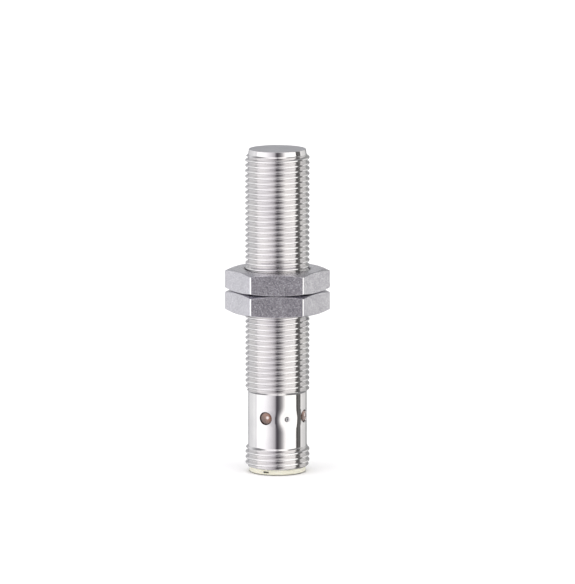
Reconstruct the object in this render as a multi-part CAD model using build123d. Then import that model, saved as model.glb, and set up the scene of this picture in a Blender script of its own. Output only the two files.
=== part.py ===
from build123d import *
import math
import os

# M12 x 1 inductive proximity sensor, one-piece stainless body with a plug connector.
# Millimetres.  +Z runs from the connector to the sensing face, the connector rim stands on Z = 0.

# Overall length and threads
LENGTH = 60.0
PITCH = 1.0
CREST_R = 5.95
ROOT_R = 5.39
ROOT_FLAT = 0.18
FLANK_ANGLE = 30.0

# Housing
BODY_BOTTOM = 1.1
PLUG_THREAD_TOP = 4.98
PLUG_CREST_PHASE = 0.18
PLAIN_R = 5.42
MAIN_THREAD_BOTTOM = 15.0
MAIN_THREAD_TOP = 59.11
MAIN_CREST_PHASE = 0.58
END_BAND_R = 5.38
FACE_R = 5.25
FACE_EDGE = 0.05
FACE_THICKNESS = 0.6
BORE_R = 4.8

# Indicator windows and the crimp punch mark
WINDOW_R = 1.2
WINDOW_Z = 10.75
WINDOW_COUNT = 4
CLOCKING = -114.0
BOARD_CLOCKING = CLOCKING + 45.0
CRIMP_ANGLE = -70.0
CRIMP_Z = 10.55
CRIMP_R = 0.6
CRIMP_DEPTH = 0.25
DISH_R = 6.0
DISH_DEPTH = 0.07

# Lock nuts
NUT_FLATS = 16.85
NUT_CORNER_R = 0.25
NUT_HEIGHT = 3.95
NUT_GAP = 0.05
LOWER_NUT_Z = 29.87
NUT_TURN = -0.7
NUT_FACE_R = 8.15
NUT_CHAMFER_ANGLE = 15.0
NUT_MINOR_R = 5.46
NUT_MAJOR_R = 6.05
NUT_FLANK_CLEARANCE = 0.065
NUT_MOUTH_R = 6.15
NUT_RELIEF_R = 6.35
NUT_RELIEF_DEPTH = 0.35

# Lead rings, one in each nut's relief
LEAD_RING_IN_R = 6.0
LEAD_RING_OUT_R = 6.3
LEAD_RING_HEIGHT = 0.25

# Contact carrier
RIM_R = 5.2
RIM_HEIGHT = 1.08
RIM_ROUND = 0.18
CARRIER_R = 4.75
CARRIER_TOP = 9.2
CAVITY_R = 4.2
CAVITY_DEPTH = 7.7
KEY_WIDTH = 1.3
KEY_INNER_R = 3.65
KEY_BOTTOM = 0.7
NOTCH_WIDTH = 1.1
NOTCH_HEIGHT = 0.4
NOTCH_DEPTH = 0.45
NOTCH_Z = 0.55
SEAL_GROOVE_R = 4.1
SEAL_GROOVE_HEIGHT = 0.8
SEAL_Z = 8.45
SEAL_MEAN_R = 4.44
SEAL_SECTION_R = 0.32

# Contact pins
PIN_R = 0.5
PIN_CIRCLE_R = 2.5
PIN_BOTTOM = 1.2
PIN_TOP = 10.6
PIN_COUNT = 4

# Light guide and indicator board
GUIDE_OUT_R = 4.7
GUIDE_IN_R = 4.0
GUIDE_BOTTOM = 9.3
GUIDE_TOP = 12.4
STUD_R = 1.17
STUD_END_R = 5.34
LED_BOARD_R = 3.95
LED_BOARD_BOTTOM = 9.4
LED_BOARD_TOP = 10.0
LED_X = 3.3
LED_DEPTH = 0.8
LED_WIDTH = 1.6
LED_HEIGHT = 1.2
LED_LENS_R = 0.45
LED_LENS_LENGTH = 0.2

# Main circuit board
BOARD_WIDTH = 8.2
BOARD_FOOT_WIDTH = 7.6
BOARD_TAB_WIDTH = 2.4
BOARD_THICKNESS = 0.8
BOARD_BOTTOM = 10.9
BOARD_STEP_Z = 12.9
BOARD_TOP = 52.0
PART_GAP = 0.02

# Coil end
HOLDER_R = 4.7
HOLDER_BOTTOM = 50.9
HOLDER_FLOOR = 53.8
HOLDER_TOP = 58.85
HOLDER_POCKET_R = 4.33
CORE_R = 4.3
CORE_BOTTOM = 53.85
CORE_TOP = 58.83
CORE_PLATE_TOP = 55.2
CORE_WALL_IN_R = 3.75
CORE_POST_R = 1.4
BOBBIN_BOTTOM = 55.25
BOBBIN_TOP = 58.8
BOBBIN_IN_R = 1.45
BOBBIN_HUB_R = 1.75
BOBBIN_FLANGE_R = 3.68
BOBBIN_FLANGE = 0.3
WINDING_IN_R = 1.78
WINDING_OUT_R = 3.5
WINDING_GAP = 0.05
TERMINAL_X = 2.6
TERMINAL_XS = (-TERMINAL_X, TERMINAL_X)
TERMINAL_Y = 0.75
TERMINAL_R = 0.25
TERMINAL_BOTTOM = 47.5
TERMINAL_HOLE_R = 0.35
INSULATOR_BOTTOM = 58.95
INSULATOR_TOP = 59.35

# Shield sleeve and potting
SLEEVE_OUT_R = 4.7
SLEEVE_IN_R = 4.55
SLEEVE_BOTTOM = 13.0
SLEEVE_TOP = 50.75
SLEEVE_SEAM = 0.3
POTTING_R = 4.5
POTTING_BOTTOM = 13.2
POTTING_TOP = 50.7
POTTING_GAP = 0.05

# Board parts as (side, x, z, width, height, thickness); side is +1 front, -1 back
SENSOR_CHIP = (1, 0.0, 40.0, 5.0, 5.0, 0.9)
TRANSISTOR = (-1, 0.0, 21.0, 3.5, 6.0, 1.6)
REGULATOR = (-1, 0.0, 31.0, 2.9, 2.8, 1.1)
TANTALUM = (1, 0.0, 22.0, 3.2, 6.0, 1.8)
COIL_CAPACITOR_A = (1, -1.3, 45.6, 2.0, 1.25, 0.8)
COIL_CAPACITOR_B = (1, 1.3, 45.6, 2.0, 1.25, 0.8)
RESISTOR_ROWS = (27.5, 29.5, 31.5, 33.5)
RESISTOR_X = 1.6
RESISTOR_SIZE = (1.6, 0.8, 0.5)
DIODE_ROWS = (14.9, 27.0)
DIODE_SIZE = (2.7, 1.7, 1.1)


def revolved(points):
    profile = make_face(Polyline(*points, close=True))
    return revolve(Plane.XZ * profile, Axis.Z, 360)


def disc(radius, bottom, top):
    return Pos(0, 0, bottom) * extrude(Circle(radius), top - bottom)


def ring(outer, inner, bottom, top):
    return disc(outer, bottom, top) - disc(inner, bottom - 1, top + 1)


def block(x, y, z, width, depth, height):
    return Pos(x, y, z) * Box(width, depth, height)


def around(shape, count, first=0.0):
    return [Rot(0, 0, first + i * 360.0 / count) * shape for i in range(count)]


def groove_turn(inner, outer, inner_width, outer_width):
    """One turn of a right-hand helical groove, starting on the +X side at Z = 0."""
    corners = [
        (inner, -inner_width / 2),
        (outer, -outer_width / 2),
        (outer, outer_width / 2),
        (inner, inner_width / 2),
    ]
    path = Edge.make_helix(PITCH, PITCH, (inner + outer) / 2)
    profile = Plane.XZ * make_face(Polyline(*corners, close=True))
    return sweep(profile, path=path, is_frenet=True)


def cut_thread(solid, groove, start, turns):
    for i in range(turns):
        solid = solid - Pos(0, 0, start + i * PITCH) * groove
    return solid


def outer_groove():
    outer = CREST_R + 0.1
    width = ROOT_FLAT + 2 * (outer - ROOT_R) * math.tan(math.radians(FLANK_ANGLE))
    return groove_turn(ROOT_R, outer, ROOT_FLAT, width)


def barrel():
    """One-piece housing: plug thread, plain waist, long mounting thread and closed sensing face."""
    chamfer_low = CREST_R - 5.5
    step = CREST_R - PLAIN_R
    solid = revolved([
        (BORE_R, BODY_BOTTOM),
        (5.5, BODY_BOTTOM),
        (CREST_R, BODY_BOTTOM + chamfer_low),
        (CREST_R, PLUG_THREAD_TOP - step),
        (PLAIN_R, PLUG_THREAD_TOP),
        (PLAIN_R, MAIN_THREAD_BOTTOM),
        (CREST_R, MAIN_THREAD_BOTTOM + step),
        (CREST_R, MAIN_THREAD_TOP - (CREST_R - END_BAND_R)),
        (END_BAND_R, MAIN_THREAD_TOP),
        (FACE_R, LENGTH - FACE_EDGE),
        (FACE_R - FACE_EDGE, LENGTH),
        (0, LENGTH),
        (0, LENGTH - FACE_THICKNESS),
        (BORE_R, LENGTH - FACE_THICKNESS),
    ])
    solid = cut_thread(solid, outer_groove(), PLUG_CREST_PHASE + PITCH / 2, 4)
    main_start = MAIN_THREAD_BOTTOM + MAIN_CREST_PHASE - PITCH / 2
    solid = cut_thread(solid, outer_groove(), main_start, 44)
    window = Pos(0, 0, WINDOW_Z) * Rot(0, 90, 0) * Cylinder(WINDOW_R, 8, align=(Align.CENTER, Align.CENTER, Align.MIN))
    for hole in around(window, WINDOW_COUNT, CLOCKING):
        solid = solid - hole
    punch = Pos(PLAIN_R - CRIMP_DEPTH + CRIMP_R, 0, CRIMP_Z) * Sphere(CRIMP_R)
    dish = Pos(PLAIN_R - DISH_DEPTH + DISH_R, 0, CRIMP_Z) * Sphere(DISH_R)
    solid = solid - Rot(0, 0, CRIMP_ANGLE) * dish
    solid = solid - Rot(0, 0, CRIMP_ANGLE) * punch
    return solid


def lock_nut(bottom, relief_below):
    """Hexagon lock nut with an internal thread that meshes with the housing's mounting thread."""
    top = bottom + NUT_HEIGHT
    corner_r = NUT_FLATS / 2 / math.cos(math.radians(30))
    drop = (corner_r + 1 - NUT_FACE_R) * math.tan(math.radians(NUT_CHAMFER_ANGLE))
    outline = fillet(RegularPolygon(corner_r, 6).vertices(), NUT_CORNER_R)
    hexagon = Pos(0, 0, bottom) * extrude(outline, NUT_HEIGHT)
    envelope = revolved([
        (0, bottom),
        (NUT_FACE_R, bottom),
        (corner_r + 1, bottom + drop),
        (corner_r + 1, top - drop),
        (NUT_FACE_R, top),
        (0, top),
    ])
    solid = Rot(0, 0, NUT_TURN) * (hexagon & envelope)
    mouth = NUT_MOUTH_R - NUT_MINOR_R
    low_step = NUT_RELIEF_DEPTH if relief_below else 0.0
    high_step = 0.0 if relief_below else NUT_RELIEF_DEPTH
    solid = solid - revolved([
        (0, bottom - 1),
        (NUT_MOUTH_R, bottom - 1),
        (NUT_MOUTH_R, bottom + low_step),
        (NUT_MINOR_R, bottom + low_step + mouth),
        (NUT_MINOR_R, top - high_step - mouth),
        (NUT_MOUTH_R, top - high_step),
        (NUT_MOUTH_R, top + 1),
        (0, top + 1),
    ])
    if relief_below:
        solid = solid - disc(NUT_RELIEF_R, bottom - 1, bottom + NUT_RELIEF_DEPTH)
    else:
        solid = solid - disc(NUT_RELIEF_R, top - NUT_RELIEF_DEPTH, top + 1)
    slope = math.tan(math.radians(FLANK_ANGLE))
    root_width = PITCH - ROOT_FLAT - 2 * (NUT_MAJOR_R - ROOT_R) * slope + 2 * NUT_FLANK_CLEARANCE
    inner = NUT_MINOR_R - 0.06
    mouth_width = root_width + 2 * (NUT_MAJOR_R - inner) * slope
    groove = groove_turn(inner, NUT_MAJOR_R, mouth_width, root_width)
    return cut_thread(solid, groove, math.floor(bottom) - 2 + MAIN_CREST_PHASE, 7)


def lower_nut():
    return lock_nut(LOWER_NUT_Z, False)


def upper_nut():
    return lock_nut(LOWER_NUT_Z + NUT_HEIGHT + NUT_GAP, True)


def lower_nut_lead():
    top = LOWER_NUT_Z + NUT_HEIGHT - 0.04
    return ring(LEAD_RING_OUT_R, LEAD_RING_IN_R, top - LEAD_RING_HEIGHT, top)


def upper_nut_lead():
    bottom = LOWER_NUT_Z + NUT_HEIGHT + NUT_GAP + 0.04
    return ring(LEAD_RING_OUT_R, LEAD_RING_IN_R, bottom, bottom + LEAD_RING_HEIGHT)


def contact_carrier():
    """Moulded insert of the plug: rim, round socket with its coding key, floor and seal groove."""
    body = disc(RIM_R, 0, RIM_HEIGHT)
    body = fillet(body.edges().group_by(Axis.Z)[0], RIM_ROUND)
    body = body + disc(CARRIER_R, RIM_HEIGHT - 0.01, CARRIER_TOP)
    body = body - disc(CAVITY_R, -1, CAVITY_DEPTH)
    key_depth = CAVITY_R + 0.2 - KEY_INNER_R
    key_height = CAVITY_DEPTH + 0.2 - KEY_BOTTOM
    key_x = KEY_INNER_R + key_depth / 2
    body = body + block(key_x, 0, KEY_BOTTOM + key_height / 2, key_depth, KEY_WIDTH, key_height)
    body = body - block(RIM_R, 0, NOTCH_Z, 2 * NOTCH_DEPTH, NOTCH_WIDTH, NOTCH_HEIGHT)
    low = SEAL_Z - SEAL_GROOVE_HEIGHT / 2
    body = body - ring(CARRIER_R + 1, SEAL_GROOVE_R, low, low + SEAL_GROOVE_HEIGHT)
    hole = Pos(PIN_CIRCLE_R, 0, 0) * disc(PIN_R + 0.02, CAVITY_DEPTH - 1, CARRIER_TOP + 1)
    for cut in around(hole, PIN_COUNT, 45.0):
        body = body - cut
    return Rot(0, 0, CLOCKING) * body


def carrier_seal():
    return Pos(0, 0, SEAL_Z) * Torus(SEAL_MEAN_R, SEAL_SECTION_R)


def contact_pin(index):
    pin = disc(PIN_R, PIN_BOTTOM, PIN_TOP)
    pin = fillet(pin.edges().group_by(Axis.Z)[0], 0.3)
    pin = chamfer(pin.edges().group_by(Axis.Z)[-1], 0.12)
    angle = CLOCKING + 45.0 + index * 360.0 / PIN_COUNT
    return Rot(0, 0, angle) * Pos(PIN_CIRCLE_R, 0, 0) * pin


def light_guide_ring():
    """Clear amber ring whose studs fill the housing's indicator windows."""
    body = ring(GUIDE_OUT_R, GUIDE_IN_R, GUIDE_BOTTOM, GUIDE_TOP)
    start = (GUIDE_OUT_R + GUIDE_IN_R) / 2
    stud = Cylinder(STUD_R, STUD_END_R - start, align=(Align.CENTER, Align.CENTER, Align.MIN))
    stud = fillet(stud.edges().group_by(Axis.Z)[-1], 0.12)
    stud = Pos(start, 0, WINDOW_Z) * Rot(0, 90, 0) * stud
    for lens in around(stud, WINDOW_COUNT):
        body = body + lens
    return Rot(0, 0, CLOCKING) * body


def led_board():
    board = disc(LED_BOARD_R, LED_BOARD_BOTTOM, LED_BOARD_TOP)
    hole = Pos(PIN_CIRCLE_R, 0, 0) * disc(PIN_R + 0.06, LED_BOARD_BOTTOM - 1, LED_BOARD_TOP + 1)
    for cut in around(hole, PIN_COUNT):
        board = board - cut
    slot = block(0, 0, LED_BOARD_TOP, BOARD_TAB_WIDTH + 0.1, BOARD_THICKNESS + 0.1, 3)
    return Rot(0, 0, BOARD_CLOCKING) * (board - slot)


def led(index):
    z = LED_BOARD_TOP + PART_GAP + LED_HEIGHT / 2
    body = block(LED_X, 0, z, LED_DEPTH, LED_WIDTH, LED_HEIGHT)
    body = chamfer(body.edges().filter_by(Axis.Z), 0.1)
    lens = Pos(LED_X, 0, z) * Rot(0, 90, 0) * Cylinder(LED_LENS_R, LED_DEPTH + 2 * LED_LENS_LENGTH)
    lens = lens - block(LED_X - LED_DEPTH, 0, z, LED_DEPTH, LED_WIDTH, LED_HEIGHT)
    return Rot(0, 0, CLOCKING + index * 360.0 / WINDOW_COUNT) * (body + lens)


def circuit_board():
    """Long board on the housing's axis, its tab plugged into the indicator board."""
    half = BOARD_WIDTH / 2
    foot = BOARD_FOOT_WIDTH / 2
    tab = BOARD_TAB_WIDTH / 2
    outline = Polyline(
        (-half, BOARD_TOP),
        (-half, BOARD_STEP_Z),
        (-foot, BOARD_STEP_Z),
        (-foot, BOARD_BOTTOM),
        (-tab, BOARD_BOTTOM),
        (-tab, LED_BOARD_BOTTOM),
        (tab, LED_BOARD_BOTTOM),
        (tab, BOARD_BOTTOM),
        (foot, BOARD_BOTTOM),
        (foot, BOARD_STEP_Z),
        (half, BOARD_STEP_Z),
        (half, BOARD_TOP),
        close=True,
    )
    board = extrude(Plane.XZ * make_face(outline), BOARD_THICKNESS / 2, both=True)
    return Rot(0, 0, BOARD_CLOCKING) * board


def on_board(shapes):
    """One node of several like solids, turned to the board's angle."""
    return Compound([Rot(0, 0, BOARD_CLOCKING) * shape for shape in shapes])


def package(spec, gap=0.0):
    """Moulded body of a board part; gap grows it on every side for the potting's pocket."""
    side, x, z, width, height, thickness = spec
    y = side * (BOARD_THICKNESS / 2 + PART_GAP + thickness / 2)
    return block(x, y, z, width + 2 * gap, thickness + 2 * gap, height + 2 * gap)


def rows(zs, x, size, side):
    width, height, thickness = size
    return [(side, x, z, width, height, thickness) for z in zs]


def side_leads(spec, count, reach):
    """Flat leads out of both long sides of a package, resting on the board."""
    side, x, z, width, height, thickness = spec
    y = side * (BOARD_THICKNESS / 2 + PART_GAP + 0.1)
    pitch = height / count
    heights = [z - height / 2 + pitch * (i + 0.5) for i in range(count)]
    return [block(x, y, level, width + 2 * reach, 0.2, pitch * 0.4) for level in heights]


def lead_pocket(spec, reach):
    """Room in the potting for the leads on both sides of a package."""
    side, x, z, width, height, thickness = spec
    y = side * (BOARD_THICKNESS / 2 + PART_GAP + 0.1)
    return block(x, y, z, width + 2 * reach, 0.3, height)


def sensor_chip():
    body = chamfer(package(SENSOR_CHIP).edges().group_by(Axis.Y)[-1], 0.15)
    return Rot(0, 0, BOARD_CLOCKING) * body


def output_transistor():
    body = package(TRANSISTOR)
    for lead in side_leads(TRANSISTOR, 3, 0.6):
        body = body + lead
    return Rot(0, 0, BOARD_CLOCKING) * body


def voltage_regulator():
    body = package(REGULATOR)
    for lead in side_leads(REGULATOR, 2, 0.45):
        body = body + lead
    return Rot(0, 0, BOARD_CLOCKING) * body


def tantalum_capacitor():
    body = chamfer(package(TANTALUM).edges().group_by(Axis.Y)[-1], 0.2)
    return Rot(0, 0, BOARD_CLOCKING) * body


def capacitors():
    return on_board([package(COIL_CAPACITOR_A), package(COIL_CAPACITOR_B)])


def resistor_specs():
    left = rows(RESISTOR_ROWS, -RESISTOR_X, RESISTOR_SIZE, 1)
    right = rows(RESISTOR_ROWS, RESISTOR_X, RESISTOR_SIZE, 1)
    return left + right


def resistors():
    return on_board([package(spec) for spec in resistor_specs()])


def diode_specs():
    return rows(DIODE_ROWS, 0.0, DIODE_SIZE, -1)


def suppressor_diodes():
    return on_board([package(spec) for spec in diode_specs()])


def pin_fillet():
    """Solder fillet round one pin tail on the indicator board."""
    low = LED_BOARD_TOP + PART_GAP
    return revolved([
        (PIN_R + 0.02, low),
        (0.95, low),
        (0.7, low + 0.12),
        (PIN_R + 0.08, low + 0.42),
        (PIN_R + 0.02, low + 0.42),
    ])


def terminal_fillet(x):
    """Solder saddle that holds one coil terminal on the circuit board."""
    low = BOARD_THICKNESS / 2 + PART_GAP
    saddle = block(x, low + 0.35, TERMINAL_BOTTOM + 1.0, 1.2, 0.7, 1.5)
    saddle = chamfer(saddle.edges().group_by(Axis.Y)[-1], 0.25)
    wire = Pos(x, TERMINAL_Y, TERMINAL_BOTTOM - 1) * extrude(Circle(TERMINAL_R + 0.02), 4)
    return saddle - wire


def solder_joints():
    pins = around(Pos(PIN_CIRCLE_R, 0, 0) * pin_fillet(), PIN_COUNT)
    coil = [terminal_fillet(-TERMINAL_X), terminal_fillet(TERMINAL_X)]
    return on_board(pins + coil)


def terminal_post(x, radius, bottom, top):
    return Pos(x, TERMINAL_Y, 0) * disc(radius, bottom, top)


def coil_terminals():
    return on_board([terminal_post(x, TERMINAL_R, TERMINAL_BOTTOM, CORE_PLATE_TOP) for x in TERMINAL_XS])


def core_holder():
    """Moulded cup that carries the core and grips the end of the circuit board."""
    body = disc(HOLDER_R, HOLDER_BOTTOM, HOLDER_TOP) - disc(HOLDER_POCKET_R, HOLDER_FLOOR, HOLDER_TOP + 1)
    slot_height = BOARD_TOP + 0.1 - HOLDER_BOTTOM
    body = body - block(0, 0, HOLDER_BOTTOM + slot_height / 2, BOARD_WIDTH + 0.1, BOARD_THICKNESS + 0.1, slot_height)
    for x in TERMINAL_XS:
        body = body - terminal_post(x, TERMINAL_HOLE_R, HOLDER_BOTTOM - 1, HOLDER_TOP)
    return Rot(0, 0, BOARD_CLOCKING) * body


def ferrite_core():
    """Pot core open towards the sensing face."""
    body = disc(CORE_R, CORE_BOTTOM, CORE_TOP) - ring(CORE_WALL_IN_R, CORE_POST_R, CORE_PLATE_TOP, CORE_TOP + 1)
    for x in TERMINAL_XS:
        body = body - terminal_post(x, TERMINAL_HOLE_R, CORE_BOTTOM - 1, CORE_PLATE_TOP + 1)
    return Rot(0, 0, BOARD_CLOCKING) * body


def coil_bobbin():
    body = ring(BOBBIN_FLANGE_R, BOBBIN_IN_R, BOBBIN_BOTTOM, BOBBIN_TOP)
    low = BOBBIN_BOTTOM + BOBBIN_FLANGE
    return body - ring(BOBBIN_FLANGE_R + 1, BOBBIN_HUB_R, low, BOBBIN_TOP - BOBBIN_FLANGE)


def coil_winding():
    low = BOBBIN_BOTTOM + BOBBIN_FLANGE + WINDING_GAP
    high = BOBBIN_TOP - BOBBIN_FLANGE - WINDING_GAP
    return ring(WINDING_OUT_R, WINDING_IN_R, low, high)


def face_insulator():
    return disc(HOLDER_R, INSULATOR_BOTTOM, INSULATOR_TOP)


def shield_sleeve():
    sleeve = ring(SLEEVE_OUT_R, SLEEVE_IN_R, SLEEVE_BOTTOM, SLEEVE_TOP)
    middle = (SLEEVE_BOTTOM + SLEEVE_TOP) / 2
    seam = block(0, SLEEVE_IN_R, middle, SLEEVE_SEAM, 1, SLEEVE_TOP - SLEEVE_BOTTOM + 2)
    return Rot(0, 0, BOARD_CLOCKING) * (sleeve - seam)


def potting_resin():
    """Cast resin round the board, with a pocket for every part that it encloses."""
    body = disc(POTTING_R, POTTING_BOTTOM, POTTING_TOP)
    middle = (POTTING_BOTTOM + POTTING_TOP) / 2
    width = BOARD_WIDTH + 2 * POTTING_GAP
    body = body - block(0, 0, middle, width, BOARD_THICKNESS + 2 * POTTING_GAP, POTTING_TOP)
    singles = [SENSOR_CHIP, TRANSISTOR, REGULATOR, TANTALUM, COIL_CAPACITOR_A, COIL_CAPACITOR_B]
    for spec in singles + resistor_specs() + diode_specs():
        body = body - package(spec, POTTING_GAP)
    body = body - lead_pocket(TRANSISTOR, 0.65)
    body = body - lead_pocket(REGULATOR, 0.5)
    for x in TERMINAL_XS:
        body = body - terminal_post(x, TERMINAL_HOLE_R, TERMINAL_BOTTOM - POTTING_GAP, POTTING_TOP + 1)
        body = body - block(x, 0.8, TERMINAL_BOTTOM + 1.0, 1.3, 0.9, 1.6)
    return Rot(0, 0, BOARD_CLOCKING) * body


PARTS = {
    "barrel": barrel,
    "lower_nut": lower_nut,
    "upper_nut": upper_nut,
    "lower_nut_lead": lower_nut_lead,
    "upper_nut_lead": upper_nut_lead,
    "contact_carrier": contact_carrier,
    "carrier_seal": carrier_seal,
    "light_guide_ring": light_guide_ring,
    "led_board": led_board,
    "circuit_board": circuit_board,
    "sensor_chip": sensor_chip,
    "output_transistor": output_transistor,
    "voltage_regulator": voltage_regulator,
    "tantalum_capacitor": tantalum_capacitor,
    "capacitors": capacitors,
    "resistors": resistors,
    "suppressor_diodes": suppressor_diodes,
    "solder_joints": solder_joints,
    "coil_terminals": coil_terminals,
    "core_holder": core_holder,
    "ferrite_core": ferrite_core,
    "coil_bobbin": coil_bobbin,
    "coil_winding": coil_winding,
    "face_insulator": face_insulator,
    "shield_sleeve": shield_sleeve,
    "potting_resin": potting_resin,
}

os.makedirs("parts", exist_ok=True)
for name, make in PARTS.items():
    export_step(make(), "parts/" + name + ".step")
for i in range(PIN_COUNT):
    export_step(contact_pin(i), "parts/contact_pin_" + str(i + 1) + ".step")
for i in range(WINDOW_COUNT):
    export_step(led(i), "parts/led_" + str(i + 1) + ".step")
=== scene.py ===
import math

import bmesh
import bpy
from mathutils import Matrix, Vector


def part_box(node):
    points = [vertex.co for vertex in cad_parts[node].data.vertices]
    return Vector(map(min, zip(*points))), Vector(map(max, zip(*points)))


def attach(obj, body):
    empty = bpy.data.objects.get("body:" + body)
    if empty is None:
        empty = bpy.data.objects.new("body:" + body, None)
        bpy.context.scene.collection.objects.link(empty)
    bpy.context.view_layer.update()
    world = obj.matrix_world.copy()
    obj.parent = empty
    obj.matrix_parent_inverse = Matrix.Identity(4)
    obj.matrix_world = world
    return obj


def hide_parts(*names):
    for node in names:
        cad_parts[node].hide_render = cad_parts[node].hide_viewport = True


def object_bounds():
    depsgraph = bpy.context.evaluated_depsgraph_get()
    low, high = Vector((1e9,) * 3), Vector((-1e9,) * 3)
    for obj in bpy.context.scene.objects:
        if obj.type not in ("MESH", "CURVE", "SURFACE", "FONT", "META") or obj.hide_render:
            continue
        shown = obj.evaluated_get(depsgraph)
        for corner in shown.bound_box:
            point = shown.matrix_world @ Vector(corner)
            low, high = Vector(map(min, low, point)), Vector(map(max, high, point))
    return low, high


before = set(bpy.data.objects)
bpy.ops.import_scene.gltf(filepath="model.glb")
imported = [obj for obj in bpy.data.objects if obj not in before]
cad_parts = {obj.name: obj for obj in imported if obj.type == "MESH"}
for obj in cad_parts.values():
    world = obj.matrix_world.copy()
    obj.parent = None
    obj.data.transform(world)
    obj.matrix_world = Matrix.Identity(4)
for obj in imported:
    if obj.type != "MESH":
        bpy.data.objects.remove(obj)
cad_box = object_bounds()


# Housing tube.  One piece of stainless steel, turned from bar with a closed end: the M12 x 1
# mounting thread, a polished waist with four drilled windows, and the short thread of the plug.
# The crimp that locks the plug's insert is punched into the waist after assembly.

METRES = 0.001
COLUMNS = 120
COLUMN = math.tau / COLUMNS
PITCH = 1.0
ROLLED_HALF = [
    (0.0, 5.915), (0.07, 5.909), (0.12, 5.887), (0.16, 5.85),
    (0.19, 5.803), (0.40, 5.452), (0.445, 5.392), (0.5, 5.37),
]
WAIST_R = 5.42
BORE_R = 4.8
TUBE_BOTTOM = 1.1
PLUG_START_R = 5.5
PLUG_CREST = 0.18
PLUG_THREAD_TOP = 4.98
PLUG_THREAD_CUT = PLUG_THREAD_TOP + 0.12
MAIN_CREST = 0.46
MAIN_THREAD_BOTTOM = 15.0
MAIN_THREAD_TOP = 59.11
MAIN_THREAD_CUTS = MAIN_THREAD_BOTTOM - 0.2, MAIN_THREAD_TOP + 0.1
BAND_R = 5.38
FACE_R = 5.25
FACE_Z = 60.0
BORE_END = 59.4
WINDOW_R = 1.2
WINDOW_EDGE = 0.03
WINDOW_EDGE_DEPTH = 0.04
WINDOW_Z = 10.65
WINDOW_ANGLES = [math.radians(a) for a in (-114, -24, 66, 156)]
WINDOW_CELLS = 5
CRIMP_ANGLE = math.radians(-70)
CRIMP_Z = 10.45
PUNCH_R = 0.6
PUNCH_DEPTH = 0.25
DISH_DEPTH = 0.3
DISH_SPREAD = 0.9
DISH_REACH = 2.6
SHARP_ANGLE = math.radians(38)


def tooth(half):
    """One pitch of a thread's outline, from half of it: height above the crest, and radius."""
    return half + [(PITCH - z, r) for z, r in reversed(half[1:-1])]


def screw(outline, first_crest, teeth):
    """Right-hand helical surface: a column of teeth spun one turn while it climbs one pitch."""
    bm = bmesh.new()
    column = [(r, 0, first_crest + k * PITCH + z) for k in range(teeth) for z, r in outline]
    verts = [bm.verts.new(point) for point in column]
    edges = [bm.edges.new(pair) for pair in zip(verts, verts[1:])]
    bmesh.ops.spin(
        bm, geom=verts + edges, cent=(0, 0, 0), axis=(0, 0, 1), dvec=(0, 0, PITCH / COLUMNS),
        angle=math.tau, steps=COLUMNS, use_merge=False, use_duplicate=False,
    )
    bmesh.ops.remove_doubles(bm, verts=bm.verts, dist=0.001)
    return bm


def everything(bm):
    return bm.verts[:] + bm.edges[:] + bm.faces[:]


def keep_between(bm, low, high):
    """Cuts away what lies below one height and above another."""
    up = (0, 0, 1)
    bmesh.ops.bisect_plane(bm, geom=everything(bm), plane_co=(0, 0, low), plane_no=up, clear_inner=True)
    bmesh.ops.bisect_plane(bm, geom=everything(bm), plane_co=(0, 0, high), plane_no=up, clear_outer=True)


def refine_flanks(bm, zones):
    """Divides the flanks near the thread's ends, so that the chamfers cut them cleanly."""
    flank_height = 0.15

    def in_zone(edge):
        a, b = (v.co.z for v in edge.verts)
        return abs(a - b) > flank_height and any(low < (a + b) / 2 < high for low, high in zones)

    flanks = [e for e in bm.edges if in_zone(e)]
    bmesh.ops.subdivide_edges(bm, edges=flanks, cuts=5, use_grid_fill=True)


def set_radius(vert, radius):
    flat = math.hypot(vert.co.x, vert.co.y)
    vert.co.x *= radius / flat
    vert.co.y *= radius / flat


def turned_down(bm, limit):
    """Takes every point back to the radius that limit gives for its height."""
    for vert in bm.verts:
        radius = math.hypot(vert.co.x, vert.co.y)
        wanted = limit(vert.co.z, radius)
        if wanted != radius:
            set_radius(vert, wanted)


def plug_limit(z, r):
    """The plug thread's chamfered start and its run-out into the waist."""
    if z >= PLUG_THREAD_TOP:
        return WAIST_R
    low = PLUG_START_R + z - TUBE_BOTTOM
    high = WAIST_R + PLUG_THREAD_TOP - z
    return min(r, low, high)


def main_limit(z, r):
    """The mounting thread's run-out into the waist and its chamfer below the end band."""
    if z <= MAIN_THREAD_BOTTOM:
        return WAIST_R
    if z >= MAIN_THREAD_TOP:
        return BAND_R - (z - MAIN_THREAD_TOP) * (BAND_R - FACE_R) / (FACE_Z - MAIN_THREAD_TOP)
    return min(r, WAIST_R + z - MAIN_THREAD_BOTTOM, BAND_R + MAIN_THREAD_TOP - z)


def add_to(bm, other):
    """Moves another mesh's geometry into this one."""
    mesh = bpy.data.meshes.new("part")
    other.to_mesh(mesh)
    other.free()
    bm.from_mesh(mesh)
    bpy.data.meshes.remove(mesh)


def open_edges(bm, z, tolerance=0.01):
    """The open edges at one height."""
    return [e for e in bm.edges if e.is_boundary and all(abs(v.co.z - z) < tolerance for v in e.verts)]


def circle(bm, radius, z):
    """A ring of open edges to start a turned surface from."""
    place = Matrix.Translation((0, 0, z))
    made = bmesh.ops.create_circle(bm, segments=COLUMNS, radius=radius, matrix=place)
    return list({e for v in made["verts"] for e in v.link_edges})


def turn_on(bm, edges, outline):
    """Carries a ring of open edges on through each (radius, height) of a turned outline."""
    for radius, z in outline:
        made = bmesh.ops.extrude_edge_only(bm, edges=edges)["geom"]
        edges = [g for g in made if isinstance(g, bmesh.types.BMEdge)]
        for vert in {v for e in edges for v in e.verts}:
            set_radius(vert, radius)
            vert.co.z = z
    return edges


def close_end(bm, edges):
    bmesh.ops.contextual_create(bm, geom=edges)


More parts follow.
